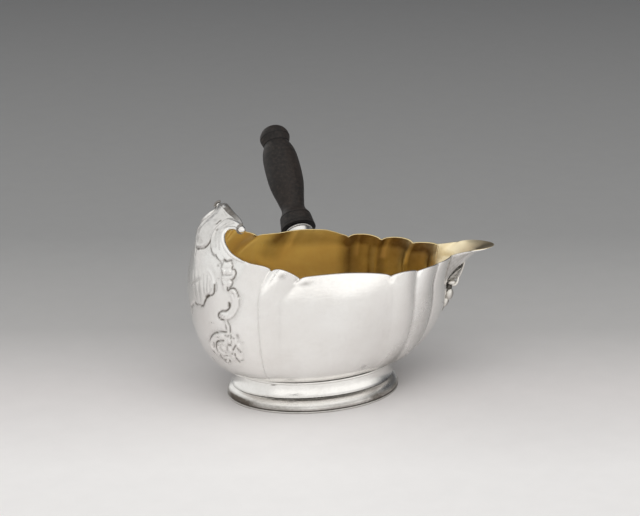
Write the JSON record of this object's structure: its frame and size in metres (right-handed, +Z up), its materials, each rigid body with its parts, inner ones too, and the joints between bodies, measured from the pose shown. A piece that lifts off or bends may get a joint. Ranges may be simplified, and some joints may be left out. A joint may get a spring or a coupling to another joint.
{
  "type": "sauce boat",
  "caption": "Oval lobed silver sauce boat with gilt inside, chased hood, beak spout, stepped oval foot and turned blackened wood side handle.",
  "frame": {"origin": "centre of the whole object's bounding box in plan, on the surface that the foot stands on", "axes": "+X towards the spout tip, +Y towards the handle, +Z up"},
  "size_m": [0.1988, 0.1764, 0.1347],
  "materials": {
    "silver": "hand-polished raised silver, softly worn, gilt inside the bowl and spout",
    "cast_silver": "cast and chased silver, darker in the recesses",
    "blackened_wood": "turned hardwood, stained black, satin wax polish"
  },
  "bodies": {
    "root": {"bowl": "silver", "spout": "silver", "spout_drop": "cast_silver", "joint_wire": "silver", "foot_collar": "silver", "foot_flange": "silver", "foot_base_wire": "silver", "socket_plate": "silver", "handle_socket": "silver", "handle": "blackened_wood", "handle_pin": "silver"}
  },
  "joints": []
}
